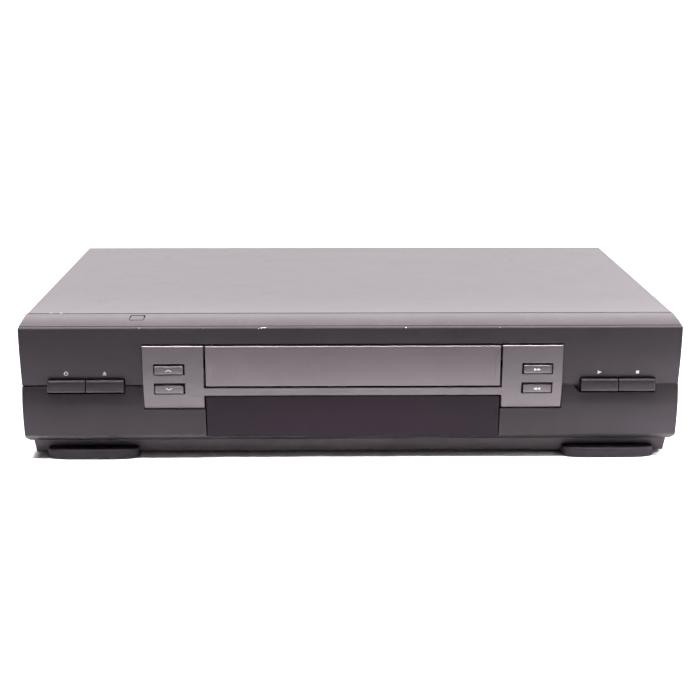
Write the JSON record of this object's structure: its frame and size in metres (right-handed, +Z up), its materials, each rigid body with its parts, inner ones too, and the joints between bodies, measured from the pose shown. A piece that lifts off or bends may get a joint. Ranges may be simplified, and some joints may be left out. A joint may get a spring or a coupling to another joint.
{
  "type": "video cassette recorder",
  "caption": "Front-loading video cassette recorder: hinged flap, smoked window, push buttons, rear sockets and a tape deck with drum, reels and loading carriage.",
  "frame": {"origin": "centre of the underside, on the plane of the feet", "axes": "+X to the viewer's right along the front, +Y from the front to the rear, +Z up"},
  "size_m": [0.4338, 0.292, 0.0935],
  "materials": {
    "cover_paint": "fine satin paint",
    "panel_plastic": "satin moulded",
    "trim_silver": "metallic paint, satin",
    "smoked_window": "smoked acrylic, gloss",
    "base_plastic": "moulded, fine grain",
    "plate_steel": "plain coated sheet",
    "foot_rubber": "matte",
    "screw_black": "black oxide",
    "button_dark": "satin",
    "button_silver": "metallic paint, satin",
    "connector_metal": "plated",
    "connector_black": "moulded",
    "jack_colours": "moulded, yellow, white and red by column",
    "board_laminate": "bare laminate",
    "tube_glass": "glass",
    "part_yellow": "taped winding",
    "part_dark": "sleeved can",
    "deck_steel": "zinc plated sheet",
    "drum_aluminium": "turned",
    "deck_plastic": "natural moulded",
    "motor_green": "coated laminate"
  },
  "bodies": {
    "chassis": {"top_cover": "cover_paint", "front_panel": "panel_plastic", "trim_panel": "trim_silver", "display_window": "smoked_window", "main_frame": "base_plastic", "bottom_plate": "plate_steel", "rear_panel": "plate_steel", "front_foot_left": "base_plastic", "front_foot_right": "base_plastic", "rear_feet": "foot_rubber", "case_screws": "screw_black", "door_spring": "deck_steel", "rf_connectors": "connector_metal", "av_jack_block": "connector_black", "av_jack_sleeves": "connector_metal", "av_jack_inserts": "jack_colours", "power_inlet": "connector_black", "front_board": "board_laminate", "display_tube": "tube_glass", "tact_switches": "connector_black", "remote_sensor": "connector_black", "main_board": "board_laminate", "tuner_can": "connector_metal", "power_board": "board_laminate", "power_transformer": "part_yellow", "main_capacitor": "part_dark", "deck_chassis": "deck_steel", "carriage_sides": "deck_steel", "carriage_bridge": "deck_steel", "lower_drum": "drum_aluminium", "capstan_motor": "motor_green", "drive_belt": "foot_rubber", "tape_heads": "drum_aluminium", "loading_motor": "deck_steel"},
    "flap": {"cassette_door": "trim_silver"},
    "power_button": {"power_button": "button_dark"},
    "eject_button": {"eject_button": "button_dark"},
    "play_button": {"play_button": "button_dark"},
    "stop_button": {"stop_button": "button_dark"},
    "channel_up_button": {"channel_up_button": "button_silver"},
    "channel_down_button": {"channel_down_button": "button_silver"},
    "fast_forward_button": {"fast_forward_button": "button_silver"},
    "rewind_button": {"rewind_button": "button_silver"},
    "carriage": {"carriage_sliders": "deck_plastic"},
    "basket": {"cassette_basket": "deck_steel"},
    "cross_shaft": {"loading_shaft": "deck_steel"},
    "drum": {"upper_drum": "drum_aluminium"},
    "capstan": {"capstan": "deck_steel"},
    "clutch": {"clutch_pulley": "deck_plastic"},
    "supply_reel": {"supply_reel": "deck_plastic"},
    "takeup_reel": {"takeup_reel": "deck_plastic"},
    "idler_arm": {"idler_arm": "deck_steel"},
    "idler_gear": {"idler_gear": "deck_plastic"},
    "pinch_arm": {"pinch_arm": "deck_steel"},
    "pinch_roller": {"pinch_roller": "foot_rubber"},
    "supply_guide": {"supply_guide": "deck_steel"},
    "takeup_guide": {"takeup_guide": "deck_steel"},
    "tension_arm": {"tension_arm": "deck_steel"},
    "mode_gear": {"mode_gear": "deck_plastic"},
    "worm": {"loading_worm": "deck_plastic"}
  },
  "joints": [
    {"name": "flap_hinge", "type": "hinge", "parent": "chassis", "child": "flap", "pos_m": [0.001, -0.14305, 0.077], "axis": [1, 0, 0], "range_deg": [0, 88], "stiffness_Nm_per_rad": 0.006, "springref_deg": -34.38},
    {"name": "power_button_press", "type": "slide", "parent": "chassis", "child": "power_button", "axis": [0, 1, 0], "range_m": [0, 0.001], "stiffness_N_per_m": 700, "springref_m": -0.0006},
    {"name": "eject_button_press", "type": "slide", "parent": "chassis", "child": "eject_button", "axis": [0, 1, 0], "range_m": [0, 0.001], "stiffness_N_per_m": 700, "springref_m": -0.0006},
    {"name": "play_button_press", "type": "slide", "parent": "chassis", "child": "play_button", "axis": [0, 1, 0], "range_m": [0, 0.001], "stiffness_N_per_m": 700, "springref_m": -0.0006},
    {"name": "stop_button_press", "type": "slide", "parent": "chassis", "child": "stop_button", "axis": [0, 1, 0], "range_m": [0, 0.001], "stiffness_N_per_m": 700, "springref_m": -0.0006},
    {"name": "channel_up_button_press", "type": "slide", "parent": "chassis", "child": "channel_up_button", "axis": [0, 1, 0], "range_m": [0, 0.001], "stiffness_N_per_m": 700, "springref_m": -0.0006},
    {"name": "channel_down_button_press", "type": "slide", "parent": "chassis", "child": "channel_down_button", "axis": [0, 1, 0], "range_m": [0, 0.001], "stiffness_N_per_m": 700, "springref_m": -0.0006},
    {"name": "fast_forward_button_press", "type": "slide", "parent": "chassis", "child": "fast_forward_button", "axis": [0, 1, 0], "range_m": [0, 0.001], "stiffness_N_per_m": 700, "springref_m": -0.0006},
    {"name": "rewind_button_press", "type": "slide", "parent": "chassis", "child": "rewind_button", "axis": [0, 1, 0], "range_m": [0, 0.001], "stiffness_N_per_m": 700, "springref_m": -0.0006},
    {"name": "carriage_slide", "type": "slide", "parent": "chassis", "child": "carriage", "axis": [0, 1, 0], "range_m": [0, 0.052]},
    {"name": "basket_lower", "type": "slide", "parent": "carriage", "child": "basket", "axis": [0, 0, -1], "range_m": [0, 0.02]},
    {"name": "cross_shaft_turn", "type": "hinge", "parent": "chassis", "child": "cross_shaft", "pos_m": [0.001, -0.03965, 0.082], "axis": [1, 0, 0], "range_deg": [0, 497]},
    {"name": "drum_spin", "type": "hinge", "parent": "chassis", "child": "drum", "pos_m": [-0.004, 0.05035, 0.024], "axis": [0.0958, 0, 0.9954], "continuous": true},
    {"name": "capstan_spin", "type": "hinge", "parent": "chassis", "child": "capstan", "pos_m": [0.066, 0.02435, 0.017], "axis": [0, 0, 1], "continuous": true},
    {"name": "clutch_spin", "type": "hinge", "parent": "chassis", "child": "clutch", "pos_m": [0.001, -0.00565, 0.017], "axis": [0, 0, 1], "continuous": true},
    {"name": "supply_reel_spin", "type": "hinge", "parent": "chassis", "child": "supply_reel", "pos_m": [-0.045, -0.04265, 0.027], "axis": [0, 0, 1], "continuous": true},
    {"name": "takeup_reel_spin", "type": "hinge", "parent": "chassis", "child": "takeup_reel", "pos_m": [0.047, -0.04265, 0.027], "axis": [0, 0, 1], "continuous": true},
    {"name": "idler_swing", "type": "hinge", "parent": "chassis", "child": "idler_arm", "pos_m": [0.001, -0.00565, 0.0243], "axis": [0, 0, 1], "range_deg": [-21, 21]},
    {"name": "idler_gear_spin", "type": "hinge", "parent": "idler_arm", "child": "idler_gear", "pos_m": [0.001, -0.02465, 0.026], "axis": [0, 0, 1], "continuous": true},
    {"name": "pinch_arm_swing", "type": "hinge", "parent": "chassis", "child": "pinch_arm", "pos_m": [0.09, 0.05435, 0.026], "axis": [0, 0, 1], "range_deg": [-24.5, 0], "stiffness_Nm_per_rad": 0.02, "springref_deg": 5.73},
    {"name": "pinch_roller_spin", "type": "hinge", "parent": "pinch_arm", "child": "pinch_roller", "pos_m": [0.08284, 0.02563, 0.038], "axis": [0, 0, 1], "continuous": true},
    {"name": "supply_guide_slide", "type": "slide", "parent": "chassis", "child": "supply_guide", "axis": [-0.2499, 0.9683, 0], "range_m": [0, 0.064]},
    {"name": "takeup_guide_slide", "type": "slide", "parent": "chassis", "child": "takeup_guide", "axis": [0.1366, 0.9906, 0], "range_m": [0, 0.0585]},
    {"name": "tension_arm_swing", "type": "hinge", "parent": "chassis", "child": "tension_arm", "pos_m": [-0.086, -0.01765, 0.025], "axis": [0, 0, 1], "range_deg": [0, 20], "stiffness_Nm_per_rad": 0.01, "springref_deg": -5.73},
    {"name": "mode_gear_turn", "type": "hinge", "parent": "chassis", "child": "mode_gear", "pos_m": [-0.08, 0.06235, 0.027], "axis": [0, 0, 1], "range_deg": [0, 270]},
    {"name": "worm_turn", "type": "hinge", "parent": "chassis", "child": "worm", "pos_m": [-0.0983, 0.06435, 0.027], "axis": [0, 1, 0], "range_deg": [0, 8640]}
  ],
  "couplings": [
    {"joint": "cross_shaft_turn", "follows": "carriage_slide", "rad_per_m": 166.67},
    {"joint": "clutch_spin", "follows": "capstan_spin", "ratio": 0.4},
    {"joint": "supply_guide_slide", "follows": "mode_gear_turn", "m_per_rad": 0.01358},
    {"joint": "takeup_guide_slide", "follows": "mode_gear_turn", "m_per_rad": 0.01241},
    {"joint": "worm_turn", "follows": "mode_gear_turn", "ratio": 32}
  ]
}
